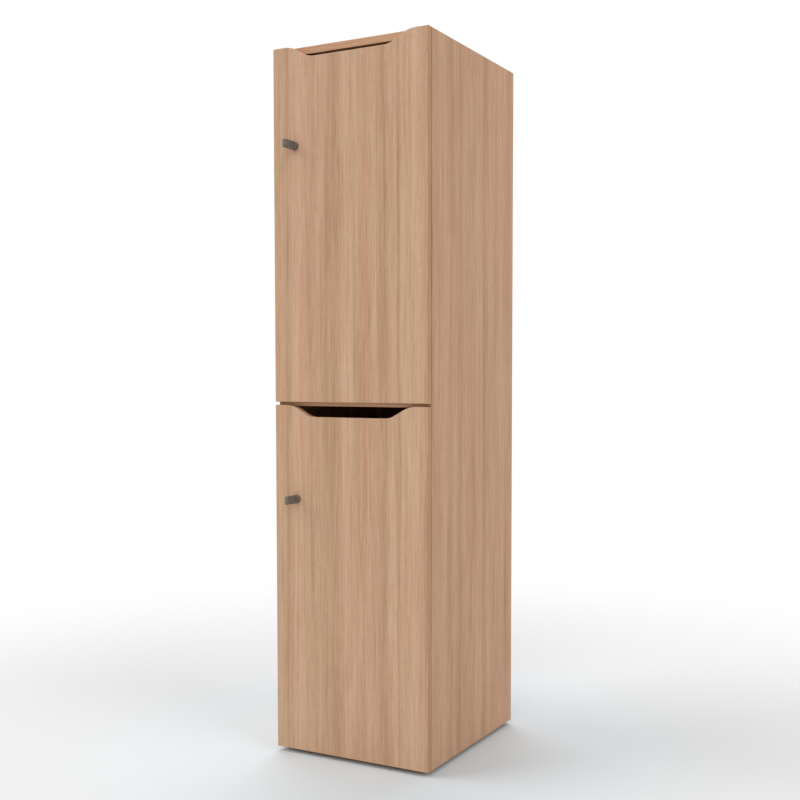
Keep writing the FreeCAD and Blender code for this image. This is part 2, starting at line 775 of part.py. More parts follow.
    # One screw holds the arm on its plate, and a smaller one sets how far the door laps the side
    arm_screws = [
        joined(f"{tag}_{use}_screw", [
            rod(f"{tag}_{use}_screw_head", "x",
                (f"{arm_x} - {use}_screw_head_height", f"hinge_front + {use}_screw_back", high),
                f"{use}_screw_head", f"{use}_screw_head_height"),
            rod(f"{tag}_{use}_screw_shank", "x", (arm_x, f"hinge_front + {use}_screw_back", high),
                f"{use}_screw_radius", "arm_high_past - ridge_past + plate_thick"),
        ])
        for use in ("arm", "set")
    ]
    pieces["pins"] = pins
    pieces["arm_screws"] = arm_screws
    pieces["arm"] = without(f"{tag}_arm", joined(f"{tag}_arm_whole", arm), pins + arm_screws)
    # The mounting plate: a spine with a ridge inside the arm, and a wing each way for its screws
    plate_x, spine_start = "side_in - plate_thick", "hinge_front + plate_front_back"
    spine_long = "plate_end_back - plate_front_back"
    spine = joined(f"{tag}_plate_whole", [
        block(f"{tag}_spine", (plate_x, spine_start, f"{high} - arm_cheek_far"),
              ("plate_thick", spine_long, "2 * arm_cheek_far")),
        block(f"{tag}_ridge", ("side_in - ridge_past", spine_start, f"{high} - ridge_half"),
              ("ridge_past", spine_long, "2 * ridge_half")),
        plate(f"{tag}_plate_wing", centred("plate_wing_half_width", "plate_wing_half"),
              "plate_thick", FROM_SIDE, (plate_x, "hinge_front + plate_screw_back", high),
              rounds=(("wing_corner", (0, 1, 2, 3)),)),
    ])
    plate_screws = [
        screw(f"{tag}_plate_screw_{i}", "x", False,
              (plate_x, "hinge_front + plate_screw_back", f"{high} {way} plate_screw_up"), WOOD_SCREW)
        for i, way in enumerate("+-")
    ]
    pieces["plate_screws"] = plate_screws
    pieces["plate"] = without(f"{tag}_plate", spine, plate_screws + arm_screws)
    return pieces


HINGE_HEIGHTS = {
    "lower": ("foot_gap + hinge_from_end", "lower_top - hinge_from_end"),
    "upper": ("upper_bottom + hinge_from_end", "locker_height - hinge_from_end"),
}
hinges = {
    tier: [hinge(f"{tier}_hinge_{i}", high) for i, high in enumerate(heights)]
    for tier, heights in HINGE_HEIGHTS.items()
}
all_hinges = hinges["lower"] + hinges["upper"]
plate_screws = node(group("hinge_plate_screws", [s for h in all_hinges for s in h["plate_screws"]]),
                    "hinge_plate_screws")
node(group("hinge_arm_screws", [s for h in all_hinges for s in h["arm_screws"]]), "hinge_arm_screws")
for tier, pair in hinges.items():
    node(group(f"{tier}_hinge_plates", [h["plate"] for h in pair]), f"{tier}_hinge_plates")
    node(group(f"{tier}_hinge_arms", [h["arm"] for h in pair]), f"{tier}_hinge_arms")
    node(group(f"{tier}_hinge_pins", [pin for h in pair for pin in h["pins"]]), f"{tier}_hinge_pins")
    node(group(f"{tier}_outer_links", [h["outer"] for h in pair]), f"{tier}_outer_links")
    node(group(f"{tier}_inner_links", [h["inner"] for h in pair]), f"{tier}_inner_links")
    node(group(f"{tier}_hinge_cups", [h["cup"] for h in pair]), f"{tier}_hinge_cups")

# The boards with their holes
side_holes = [whole_back, panel_dowels, cam_bolts]
shelf_holes = [panel_dowels, cam_bolts, whole_fittings]
node(without("left_side_panel", left_board, side_holes + [strike_screw_group]), "left_side_panel")
node(without("right_side_panel", right_board, side_holes + [plate_screws]), "right_side_panel")
node(without("top_panel", shelf_boards["top"], [whole_back] + shelf_holes), "top_panel")
node(without("divider_panel", shelf_boards["divider"], shelf_holes), "divider_panel")
node(without("base_panel", shelf_boards["base"], [whole_back] + shelf_holes + sleeve_holes + stem_holes),
     "base_panel")


def knob_tab(name, high):
    """A bar with two flats, round above and below, softened at its front."""
    body = DOC.addObject("PartDesign::Body", name)
    sketch = body.newObject("Sketcher::SketchObject", f"{name}_outline")
    sketch.AttachmentSupport = (origin_plane(body, "XY_Plane"), "")
    sketch.MapMode = "FlatFace"
    radius, half = length("knob_radius"), length("knob_half_thick")
    rise = math.sqrt(radius * radius - half * half)
    lean = math.atan2(rise, half)
    round_bar = Part.Circle(Vector(), Vector(0, 0, 1), radius)
    sketch.addGeometry(Part.ArcOfCircle(round_bar, lean, math.pi - lean))
    sketch.addGeometry(Part.LineSegment(Vector(-half, rise, 0), Vector(-half, -rise, 0)))
    sketch.addGeometry(Part.ArcOfCircle(round_bar, math.pi + lean, 2 * math.pi - lean))
    sketch.addGeometry(Part.LineSegment(Vector(half, -rise, 0), Vector(half, rise, 0)))
    for first, second in ((0, 1), (1, 2), (2, 3), (3, 0)):
        sketch.addConstraint(Sketcher.Constraint("Coincident", first, 2, second, 1))
    for arc in (0, 2):
        sketch.addConstraint(Sketcher.Constraint("Coincident", arc, 3, -1, 1))
    for line in (1, 3):
        sketch.addConstraint(Sketcher.Constraint("Vertical", line))
    for kind, places, value, text in (
        ("Radius", (0,), radius, "knob_radius"),
        ("Radius", (2,), radius, "knob_radius"),
        ("DistanceX", (-1, 1, 3, 1), half, "knob_half_thick"),
        ("DistanceX", (1, 1, -1, 1), half, "knob_half_thick"),
    ):
        held = sketch.addConstraint(Sketcher.Constraint(kind, *places, value))
        sketch.setExpression(f"Constraints[{held}]", sized(text))
    pad = body.newObject("PartDesign::Pad", f"{name}_pad")
    pad.Profile = sketch
    tie(pad, Length="knob_reach - collar_length - slip")
    DOC.recompute()
    fillet = body.newObject("PartDesign::Fillet", f"{name}_soft")
    fillet.Base = (pad, [flat_face(pad.Shape, length("knob_reach - collar_length - slip"))])
    tie(fillet, Radius="knob_round")
    DOC.recompute()
    return put(body, "knob_x", "door_front - collar_length - slip", high, turn=FROM_FRONT)


def latch(tier, high):
    """The lock housing and nut on a door, and the knob, cam and screw that turn in it. Gives the housing."""
    housing = turned(
        f"{tier}_housing_whole",
        (("spindle_radius + running_play", "-collar_length"),
         ("collar_radius", "-collar_length"),
         ("collar_radius", "0"), ("barrel_radius", "0"),
         ("barrel_radius", "door_board + barrel_proud"),
         ("spindle_radius + running_play", "door_board + barrel_proud")),
        ("knob_x", "door_front", high), soft=("collar_round", 1),
    )
    node(housing, f"{tier}_lock_housing")
    barrel = rod(f"{tier}_barrel_hole", "y", ("knob_x", "door_front", high), "barrel_radius",
                 "door_board + barrel_proud")
    nut = six_sided(f"{tier}_nut_sides", "y", ("knob_x", "door_back", high), "nut_circle", "nut_height")
    chamfer = cone(f"{tier}_nut_chamfer", "y", ("knob_x", "door_back", high),
                   ("nut_circle + nut_height", "nut_circle - nut_chamfer"), "nut_height")
    node(without(f"{tier}_lock_nut", shared(f"{tier}_nut_whole", [nut, chamfer]), [barrel]),
         f"{tier}_lock_nut")
    cam_screw = node(screw(
        f"{tier}_cam_screw", "y", True, ("knob_x", "cam_back", high),
        ("cam_screw_radius", "cam_screw_long", "cam_screw_head", "cam_screw_head_height"),
    ), f"{tier}_cam_screw")
    square = block(f"{tier}_spindle_square",
                   ("knob_x - square_side / 2", "barrel_end", f"{high} - square_side / 2"),
                   ("square_side", "slip + cam_thick", "square_side"))
    spindle = rod(f"{tier}_spindle", "y", ("knob_x", "door_front - collar_length - slip", high),
                  "spindle_radius", "slip + collar_length + door_board + barrel_proud")
    whole_knob = joined(f"{tier}_knob_whole", [knob_tab(f"{tier}_knob_tab", high), spindle, square])
    node(without(f"{tier}_turn_knob", whole_knob, [cam_screw]), f"{tier}_turn_knob")
    cam = joined(f"{tier}_cam_whole", [
        rod(f"{tier}_cam_hub", "y", ("knob_x", "cam_front", high), "cam_hub_radius", "cam_thick"),
        plate(f"{tier}_cam_arm",
              (("-cam_half_width", "0"), ("cam_half_width", "0"), ("cam_half_width", "cam_long"),
               ("-cam_half_width", "cam_long")),
              "cam_thick", FROM_FRONT, ("knob_x", "cam_back", high),
              rounds=(("cam_half_width / 2", (2, 3)),),
              soft_edges=(("cam_edge", "near"), ("cam_edge", "far"))),
    ])
    node(without(f"{tier}_latch_cam", cam, [square, cam_screw]), f"{tier}_latch_cam")
    return barrel


def door(tier, tall, low, knob_z):
    """A door board with its shallow cut-out, its cup holes and its lock hole."""
    barrel = latch(tier, knob_z)
    half = "door_width / 2"
    floor = f"{tall} - cutout_depth"
    whole = plate(
        f"{tier}_door_board",
        ((f"-{half}", "0"), (half, "0"), (half, tall),
         ("cutout_top_half", tall), ("cutout_floor_half", floor),
         ("-cutout_floor_half", floor), ("-cutout_top_half", tall), (f"-{half}", tall)),
        "door_board", FROM_FRONT, ("0", "door_back", low),
        rounds=(("cutout_shoulder", (3, 6)), ("cutout_bend", (4, 5))),
        soft_edges=(("door_edge_round", "near"), ("door_edge_round", "far")),
    )
    pair = hinges[tier]
    screws = group(f"{tier}_cup_screws", [s for h in pair for s in h["cup_screws"]])
    node(screws, f"{tier}_cup_screws")
    holes = [h["cup_hole"] for h in pair] + [screws, barrel]
    node(without(f"{tier}_door_panel", whole, holes), f"{tier}_door_panel")


door("upper", "upper_door_height", "upper_bottom", "upper_knob_z")
door("lower", "lower_door_height", "foot_gap", "lower_knob_z")

DOC.recompute()
for piece in DOC.Objects:
    if "Invalid" in piece.State or "Error" in piece.State:
        raise RuntimeError(f"{piece.Label} failed: {piece.State}")
os.makedirs("parts", exist_ok=True)
for piece in NODES:
    if piece.Shape.isNull() or not piece.Shape.isValid() or not piece.Shape.Solids:
        raise RuntimeError(f"{piece.Label} has no sound solid")
    piece.Shape.exportStep(f"parts/{piece.Label}.step")
print(len(NODES), "sub-parts")
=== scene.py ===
"""The looks of the staff locker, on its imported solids. Metres, Z up, the doors face -Y."""
import json
import math

import bmesh
import bpy
from mathutils import Matrix, Vector

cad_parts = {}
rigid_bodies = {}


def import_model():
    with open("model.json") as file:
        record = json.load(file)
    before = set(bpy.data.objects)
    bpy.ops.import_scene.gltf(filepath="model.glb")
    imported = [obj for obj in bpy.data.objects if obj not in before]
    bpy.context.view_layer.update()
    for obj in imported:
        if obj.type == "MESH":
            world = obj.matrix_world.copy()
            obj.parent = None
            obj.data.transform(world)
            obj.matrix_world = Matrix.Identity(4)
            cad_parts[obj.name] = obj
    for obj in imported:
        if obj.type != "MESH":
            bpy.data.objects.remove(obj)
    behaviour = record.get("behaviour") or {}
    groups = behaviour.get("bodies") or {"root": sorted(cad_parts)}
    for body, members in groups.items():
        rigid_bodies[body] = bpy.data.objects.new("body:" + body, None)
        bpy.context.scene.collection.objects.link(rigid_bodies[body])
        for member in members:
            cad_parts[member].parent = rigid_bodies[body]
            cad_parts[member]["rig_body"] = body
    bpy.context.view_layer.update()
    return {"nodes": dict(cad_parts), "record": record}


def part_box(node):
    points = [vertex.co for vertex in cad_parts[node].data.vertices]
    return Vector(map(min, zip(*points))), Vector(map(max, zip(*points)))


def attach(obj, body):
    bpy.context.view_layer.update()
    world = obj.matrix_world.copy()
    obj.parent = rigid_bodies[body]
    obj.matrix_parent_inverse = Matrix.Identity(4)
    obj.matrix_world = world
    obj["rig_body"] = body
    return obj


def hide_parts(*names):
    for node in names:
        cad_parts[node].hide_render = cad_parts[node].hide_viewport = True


MM = 0.001
X, Y, Z = 0, 1, 2
FEET = ("front_left", "front_right", "rear_left", "rear_right")

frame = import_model()
NODES = frame["nodes"]
SLOTS = {entry["node"]: entry["material_slot"] for entry in frame["record"]["subparts"]}


# Shader building

def srgb(red, green, blue):
    """A colour written as it looks on a screen, from 0 to 255, as the shader's own linear colour."""
    def linear(value):
        share = value / 255
        return share / 12.92 if share <= 0.04045 else ((share + 0.055) / 1.055) ** 2.4
    return (linear(red), linear(green), linear(blue), 1.0)


def join(tree, spot, value):
    """Joins a socket to an input, or fills the input with a value."""
    if isinstance(value, bpy.types.NodeSocket):
        tree.links.new(value, spot)
    else:
        spot.default_value = value


def seen_rays(tree):
    """1 for the rays that carry what is seen, and 0 for those that only carry light."""
    rays = tree.nodes.new("ShaderNodeLightPath").outputs
    most = rays["Is Camera Ray"]
    for label in ("Is Glossy Ray", "Is Transmission Ray"):
        joined = tree.nodes.new("ShaderNodeMath")
        joined.operation = "MAXIMUM"
        join(tree, joined.inputs[0], most)
        join(tree, joined.inputs[1], rays[label])
        most = joined.outputs[0]
    return most


class Shader:
    """A node material under construction."""

    def __init__(self, name):
        self.material = bpy.data.materials.new(name)
        self.material.use_nodes = True
        self.tree = self.material.node_tree
        self.surface = self.tree.nodes["Principled BSDF"]

    def add(self, kind, settings=None, **inputs):
        """Adds a node, sets its options, and joins or fills its inputs by name."""
        made = self.tree.nodes.new(kind)
        for option, value in (settings or {}).items():
            setattr(made, option, value)
        for label, value in inputs.items():
            self.feed(made, label, value)
        return made

    def feed(self, made, label, value):
        """Joins or fills the input of a node that has a name."""
        join(self.tree, next(spot for spot in made.inputs if spot.name == label and spot.enabled), value)

    def give(self, label, value):
        """Joins or fills an input of the surface."""
        self.feed(self.surface, label, value)

    def step(self, kind, operation, *values):
        """The results of one step of arithmetic, its values in the order of the node's inputs."""
        made = self.add(kind, {"operation": operation})
        for spot, value in zip(made.inputs, values):
            join(self.tree, spot, value)
        return made.outputs

    def math(self, operation, *values):
        """One step of arithmetic on numbers."""
        return self.step("ShaderNodeMath", operation, *values)[0]

    def sum(self, first, second):
        """Two vectors added."""
        return self.step("ShaderNodeVectorMath", "ADD", first, second)[0]

    def length(self, vector):
        """How long a vector is."""
        return self.step("ShaderNodeVectorMath", "LENGTH", vector)["Value"]

    def split(self, vector):
        """The three numbers of a vector."""
        return self.add("ShaderNodeSeparateXYZ", Vector=vector).outputs

    def vector(self, x, y=0.0, z=0.0):
        """A vector from three numbers."""
        return self.add("ShaderNodeCombineXYZ", X=x, Y=y, Z=z).outputs[0]

    def noise(self, place, waves, detail=2.0, rough=0.5):
        """Noise from 0 to 1 about one half, with so many waves a metre along each axis."""
        stretched = self.add("ShaderNodeMapping", Vector=place, Scale=waves)
        return self.add("ShaderNodeTexNoise", Vector=stretched.outputs[0], Scale=1.0, Detail=detail,
                        Roughness=rough).outputs["Fac"]

    def ramp(self, share, low, high, low_to=0.0, high_to=1.0, smooth=True):
        """Carries a value from one range to another, held at its ends."""
        settings = {"interpolation_type": "SMOOTHSTEP" if smooth else "LINEAR"}
        made = self.add("ShaderNodeMapRange", settings, Value=share)
        ends = {"From Min": low, "From Max": high, "To Min": low_to, "To Max": high_to}
        for label, value in ends.items():
            made.inputs[label].default_value = value
        return made.outputs[0]

    def mix(self, share, first, second):
        """A blend of two colours."""
        made = self.add("ShaderNodeMix", {"data_type": "RGBA"}, Factor=share, A=first, B=second)
        return next(spot for spot in made.outputs if spot.enabled)

    def bump(self, height, reach):
        """Relief of so many metres."""
        made = self.add("ShaderNodeBump", Height=height, Strength=1.0, Distance=reach)
        self.give("Normal", made.outputs[0])

    def place(self):
        """A point of the object, in metres."""
        return self.add("ShaderNodeTexCoord").outputs["Object"]


# The oak face of the boards

OAK_MEAN = srgb(195, 157, 128)
# The side boards' mean is the front's oak made redder and less blue: painted light that makes up for the
# way the light falls on the side
OAK_SIDE_MEAN_PAINTED_LIGHT = srgb(197, 155, 124)
OAK_LIGHT = srgb(217, 183, 154)
OAK_DARK = srgb(152, 113, 84)
OAK_ROSY = srgb(193, 146, 122)
OAK_SANDY = srgb(186, 160, 126)
OAK_PORE = srgb(140, 102, 76)
OAK_EDGE = srgb(188, 144, 110)
# The shelves' edges are paler than the doors' edges: painted light that lifts the shade where they show
# between the doors
OAK_SHELF_EDGE_PAINTED_LIGHT = srgb(198, 153, 117)
# Darker and paler bands that run along the grain: where they are across the board, in millimetres
# from its middle, and how dark or pale, from -1 to 1
FRONT_BANDS = (
    (-215, 0.05), (-193, 0.0), (-185, -0.4), (-177, 0.0), (-148, 0.35), (-115, -0.15), (-90, 0.0),
    (-60, -0.25), (-34, -0.5), (-22, 0.15), (-8, 0.3), (25, -0.12), (75, 0.05), (103, -0.4),
    (116, 0.05), (136, 0.2), (143, -0.35), (150, 0.15), (185, 0.3), (212, 0.0), (222, -0.3),
)
SIDE_BANDS = (
    (-205, -0.2), (-165, 0.15), (-130, 0.25), (-100, -0.25), (-84, 0.2), (-50, -0.35), (-22, 0.1),
    (25, -0.1), (67, 0.25), (92, -0.4), (115, 0.05), (160, 0.0), (205, 0.35), (240, -0.15), (265, 0.1),
)
SHELF_BANDS = (
    (-190, 0.1), (-120, -0.25), (-95, 0.2), (-20, 0.0), (15, -0.35), (40, 0.2), (130, -0.1), (200, 0.25),
)
# How far the bands reach from the middle of a board, and how strongly they show
BAND_REACH = 280 * MM
BAND_SHARE = 0.75
# How the grain wavers to the side on its way: waves a metre across and along it, and how far it moves
SWAY = (5.0, 1.2, 6 * MM)
RIPPLE = (30.0, 6.0, 1.4 * MM)
# The layers of the grain, clouds, strips, threads and fine lines: waves a metre across and along it,
# the noise's detail and roughness, and the share that each layer adds to the tone
GRAIN_LAYERS = (
    (22.0, 2.0, 1.5, 0.5, 0.30),
    (85.0, 0.9, 2.0, 0.5, 0.40),
    (260.0, 5.0, 1.5, 0.6, 0.55),
    (650.0, 14.0, 2.0, 0.6, 0.60),
)
# The drift between the rosy and the sandy hue, and the pores: waves a metre across and along the
# grain, detail and roughness, then the range of the noise in which each sets in
HUES = (60.0, 1.0, 2.5, 0.6)
HUE_RANGE = (0.36, 0.64)
PORES = (1500.0, 60.0, 1.0, 0.5)
PORE_RANGE = (0.62, 0.72)
# How much of the mean colour, of the edge's colour and of the pores' colour shows
MEAN_SHARE = 0.68
EDGE_SHARE = 0.7
PORE_SHARE = 0.4
# How squarely a surface looks along the grain to be an end, or through the board to be no edge
END_FACING = 0.6
FACE_FACING = 0.5
# Roughness from a low line to a high one, and the depth of the relief and the lines' share in it
OAK_ROUGHNESS = (0.64, 0.56)
OAK_RELIEF = 0.06 * MM
LINE_RELIEF = 0.5
OAK_SHINE = 0.1
# The part of a fine noise's range over which a roughness changes
FINE_RANGE = (0.3, 0.7)


def band_tone(shader, spot, bands):
    """The tone of the bands at a place across the board, from 0 to 1 about one half."""
    share = shader.math("MULTIPLY_ADD", spot, 0.5 / BAND_REACH, 0.5)
    ramp = shader.add("ShaderNodeValToRGB", Fac=share)
    stops = ramp.color_ramp.elements
    for _ in range(len(bands) - 2):
        stops.new(0.5)
    for stop, (at, tone) in zip(stops, bands):
        stop.position = 0.5 + 0.5 * at * MM / BAND_REACH
        level = 0.5 + 0.5 * tone
        stop.color = (level, level, level, 1.0)
    return ramp.outputs["Color"]


def wood_noise(shader, place, waves_across, waves_along, detail=1.0, rough=0.5):
    """Noise drawn out along the grain, for a place whose Z runs along it."""
    return shader.noise(place, (waves_across, waves_across, waves_along), detail, rough)


def waver(shader, place, waves_across, waves_along, reach):
    """How far the grain moves to the side at a place."""
    wave = wood_noise(shader, place, waves_across, waves_along)
    return shader.math("MULTIPLY", shader.math("SUBTRACT", wave, 0.5), reach)


def oak(name, across, along, shift, bands, mean=OAK_MEAN, edge=OAK_EDGE):
    """Faced board with fine straight grain along one axis of the locker and bands across another.

    The banded edges carry a grain of their own length and a browner tone. The shift, in metres,
    takes each kind of board to a grain of its own.
    """
    shader = Shader(name)
    through = next(axis for axis in (X, Y, Z) if axis not in (across, along))
    axes = shader.split(shader.place())
    faces = shader.split(shader.add("ShaderNodeTexCoord").outputs["Normal"])
    on_end = shader.math("GREATER_THAN", shader.math("ABSOLUTE", faces[along]), END_FACING)
    on_edge = shader.math("LESS_THAN", shader.math("ABSOLUTE", faces[through]), FACE_FACING)
    # On an end the axes change places, so that the grain runs the length of that edge
    turned = [
        shader.math("MULTIPLY_ADD", shader.math("SUBTRACT", axes[end], axes[face]), on_end, axes[face])
        for face, end in ((across, through), (through, along), (along, across))
    ]
    spot = shader.sum(shader.vector(*turned), shift)
    moved = shader.math("ADD", waver(shader, spot, *SWAY), waver(shader, spot, *RIPPLE))
    grain = shader.sum(spot, shader.vector(moved))

    bands_here = band_tone(shader, shader.math("ADD", axes[across], moved), bands)
    band_share = shader.math("MULTIPLY", shader.math("SUBTRACT", 1.0, on_end), BAND_SHARE)
    tone = shader.math("MULTIPLY_ADD", shader.math("SUBTRACT", bands_here, 0.5), band_share, 0.5)
    for *layer, share in GRAIN_LAYERS:
        streaks = wood_noise(shader, grain, *layer)
        tone = shader.math("MULTIPLY_ADD", shader.math("SUBTRACT", streaks, 0.5), share, tone)
    # The last layer, the fine lines, shows in the gloss and the relief too
    lines = streaks
    pore_marks = shader.ramp(wood_noise(shader, grain, *PORES), *PORE_RANGE)

    dark_side = shader.ramp(tone, 0.0, 0.5, 1.0, 0.0, smooth=False)
    light_side = shader.ramp(tone, 0.5, 1.0, smooth=False)
    body = shader.mix(shader.ramp(wood_noise(shader, grain, *HUES), *HUE_RANGE), OAK_ROSY, OAK_SANDY)
    body = shader.mix(MEAN_SHARE, body, mean)
    body = shader.mix(shader.math("MULTIPLY", on_edge, EDGE_SHARE), body, edge)
    body = shader.mix(dark_side, body, OAK_DARK)
    body = shader.mix(light_side, body, OAK_LIGHT)
    body = shader.mix(shader.math("MULTIPLY", pore_marks, PORE_SHARE), body, OAK_PORE)
    shader.give("Base Color", body)
    shader.give("Roughness", shader.ramp(lines, *FINE_RANGE, *OAK_ROUGHNESS))
    shader.give("Specular IOR Level", OAK_SHINE)
    relief = shader.math("SUBTRACT", shader.math("MULTIPLY", lines, LINE_RELIEF), pore_marks)
    shader.bump(relief, OAK_RELIEF)
    return shader.material


# Metals, plastics and the rest

# The part of a mottle's range over which it goes from one colour to the other
MOTTLE_RANGE = (0.35, 0.65)
MOTTLE_DETAIL = 3.0
# Waves a metre in the mottle and in the fine grit, and how far the gloss varies with the grit
METAL_LOOK = (180.0, 1600.0, 0.2)
PLASTIC_LOOK = (90.0, 2200.0, 0.15)
METAL_RELIEF = 0.01 * MM
BEECH_FLECKS = (40.0, 900.0, 900.0)
BEECH_PALE = srgb(214, 180, 141)
BEECH_BROWN = srgb(190, 151, 110)
BEECH_ROUGHNESS = 0.6
BEECH_RELIEF = 0.05 * MM


def mottled(name, first, second, rough, look, relief):
    """A shader with a broad mottle between two colours, and a fine grit in its gloss and relief."""
    shader = Shader(name)
    mottle_waves, grit_waves, swing = look
    place = shader.place()
    mottle = shader.noise(place, (mottle_waves,) * 3, detail=MOTTLE_DETAIL)
    grit = shader.noise(place, (grit_waves,) * 3)
    shader.give("Base Color", shader.mix(shader.ramp(mottle, *MOTTLE_RANGE), first, second))
    shader.give("Roughness", shader.ramp(grit, *FINE_RANGE, rough * (1 - swing), rough * (1 + swing)))
    shader.bump(grit, relief)
    return shader


def metal(name, colour, rough, mottle):
    """Plated or satin steel, with a faint mottle in its colour and a grit in its gloss."""
    darker = tuple(channel * (1 - mottle) for channel in colour) + (1.0,)
    shader = mottled(name, darker, colour + (1.0,), rough, METAL_LOOK, METAL_RELIEF)
    shader.give("Metallic", 1.0)
    return shader.material


def plastic(name, colour, paler, rough, relief, shine=0.5):
    """Moulded plastic or rubber with a fine grit."""
    shader = mottled(name, colour, paler, rough, PLASTIC_LOOK, relief)
    shader.give("Specular IOR Level", shine)
    return shader.material


def beech(name):
    """Plain turned hardwood along X."""
    shader = Shader(name)
    flecks = shader.noise(shader.place(), BEECH_FLECKS)
    shader.give("Base Color", shader.mix(shader.ramp(flecks, *MOTTLE_RANGE), BEECH_PALE, BEECH_BROWN))
    shader.give("Roughness", BEECH_ROUGHNESS)
    shader.bump(flecks, BEECH_RELIEF)
    return shader.material


MATERIALS = {
    "oak_front": oak("oak_front", across=X, along=Z, shift=(3.1, 0.0, 7.3), bands=FRONT_BANDS),
    # The side boards' mean colour differs from the front's only as painted light, for how the light falls
    # on the side
    "oak_side": oak("oak_side", across=Y, along=Z, shift=(5.9, 1.3, 2.2), bands=SIDE_BANDS,
                    mean=OAK_SIDE_MEAN_PAINTED_LIGHT),
    # The shelves' paler edge colour is painted light, lifting the shade on their edges between the doors
    "oak_shelf": oak("oak_shelf", across=Y, along=X, shift=(8.3, 2.1, 4.4), bands=SHELF_BANDS,
                     edge=OAK_SHELF_EDGE_PAINTED_LIGHT),
    "beech_dowel": beech("beech_dowel"),
    "zinc_fitting": metal("zinc_fitting", (0.62, 0.62, 0.60), rough=0.34, mottle=0.12),
    "satin_steel": metal("satin_steel", (0.55, 0.55, 0.54), rough=0.38, mottle=0.08),
    "hinge_steel": metal("hinge_steel", (0.60, 0.60, 0.59), rough=0.27, mottle=0.07),
    "soft_buffer": plastic("soft_buffer", srgb(206, 204, 198), srgb(220, 218, 212), rough=0.38,
                           relief=0.01 * MM),
    "dark_knob": plastic("dark_knob", srgb(108, 101, 94), srgb(116, 109, 101), rough=0.5,
                         relief=0.02 * MM, shine=0.15),
    "pad_plastic": plastic("pad_plastic", srgb(34, 34, 34), srgb(42, 42, 42), rough=0.55,
                           relief=0.03 * MM),
}
OAK_NODES = {
    "oak_front": ("upper_door_panel", "lower_door_panel", "back_panel"),
    "oak_side": ("left_side_panel", "right_side_panel"),
    "oak_shelf": ("top_panel", "divider_panel", "base_panel"),
}


def paint(thing, look):
    """Gives a piece one material all over."""
    thing.data.materials.clear()
    thing.data.materials.append(MATERIALS[look])


def dress_nodes():
    """Gives each solid the look of its finish, and the boards the grain of their own direction."""
    oak_looks = {node: look for look, nodes in OAK_NODES.items() for node in nodes}
    for node, slot in SLOTS.items():
        paint(NODES[node], oak_looks.get(node, slot))


dress_nodes()


# Small turned and cut pieces in place of plain solids

# Corners this near to each other are one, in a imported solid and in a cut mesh
SOLID_WELD = 0.001 * MM
CUT_WELD = 0.005 * MM
# Edges that turn more than this stay sharp
SHARP_TURN = math.radians(35)
# Rows for each turn of a thread, and how fast its ridge falls away to both sides
THREAD_ROWS = 5
THREAD_FLANK = 2.4
# A cross recess, as shares of its size at the rim: how long and wide its arms are at its floor, and
# how wide its cutters are at their top, which stands so many millimetres out of the head
RECESS_FLOOR_LENGTH, RECESS_FLOOR_WIDTH, RECESS_TOP_WIDTH = 0.5, 0.7, 1.1
RECESS_CLEAR = 1.0


def solids_of(node):
    """The lowest and highest corner of each separate solid of a node."""
    mesh = bmesh.new()
    mesh.from_mesh(NODES[node].data)
    bmesh.ops.remove_doubles(mesh, verts=mesh.verts, dist=SOLID_WELD)
    boxes, waiting = [], set(mesh.verts)
    while waiting:
        pile = [waiting.pop()]
        island = list(pile)
        while pile:
            for edge in pile.pop().link_edges:
                for vert in edge.verts:
                    if vert in waiting:
                        waiting.discard(vert)
                        pile.append(vert)
                        island.append(vert)
        low = Vector(min(vert.co[axis] for vert in island) for axis in (X, Y, Z))
        high = Vector(max(vert.co[axis] for vert in island) for axis in (X, Y, Z))
        boxes.append((low, high))
    mesh.free()
    return sorted(boxes, key=lambda box: tuple(round(place, 5) for place in box[0]))


def skin(rings):
    """A closed mesh over rings of points in metres, from the lowest ring up."""
    shape = bmesh.new()
    layers = [[shape.verts.new(point) for point in ring] for ring in rings]
    for below, above in zip(layers, layers[1:]):
        for i in range(len(below)):
            j = (i + 1) % len(below)
            shape.faces.new((below[i], below[j], above[j], above[i]))
    shape.faces.new(list(reversed(layers[0])))
    shape.faces.new(layers[-1])
    mesh = bpy.data.meshes.new("skin")
    shape.to_mesh(mesh)
    shape.free()
    return mesh


def round_solid(rows, around=24):
    """A closed round mesh about Z from (height, radius) rows in millimetres.

    A radius may be a rule that gives it at an angle.
    """
    rings = []
    for height, radius in rows:
        ring = []
        for step in range(around):
            angle = math.tau * step / around
            wide = (radius(angle) if callable(radius) else radius) * MM
            ring.append((wide * math.cos(angle), wide * math.sin(angle), height * MM))
        rings.append(ring)
    return skin(rings)


def taper_block(low, high):
    """A four-sided block from a low end to a high end, each (half along X, half along Y, height)."""
    corners = ((-1, -1), (1, -1), (1, 1), (-1, 1))
    return skin([
        [(side_x * half_x * MM, side_y * half_y * MM, height * MM) for side_x, side_y in corners]
        for half_x, half_y, height in (low, high)
    ])


def thread_rows(low, high, root, crest, pitch):
    """Rows of a right-handed thread that runs out at both ends."""
    rows = []
    steps = round((high - low) / pitch * THREAD_ROWS)
    for step in range(steps + 1):
        height = low + (high - low) * step / steps
        swell = min(1.0, (height - low) / pitch, (high - height) / pitch)

        def radius(angle, height=height, swell=swell):
            turn = (height / pitch - angle / math.tau) % 1.0
            ridge = max(0.0, 1.0 - THREAD_FLANK * min(turn, 1.0 - turn))
            return root + (crest - root) * swell * ridge

        rows.append((height, radius))
    return rows


def fluted(radius, count, depth):
    """A round outline with so many rounded grooves."""
    return lambda angle: radius - depth * (0.5 + 0.5 * math.cos(count * angle)) ** 2


def six_sided(flat):
    """A six-sided outline that is so far from the axis at the middle of each side."""
    return lambda angle: flat / math.cos((angle + math.pi / 6) % (math.pi / 3) - math.pi / 6)


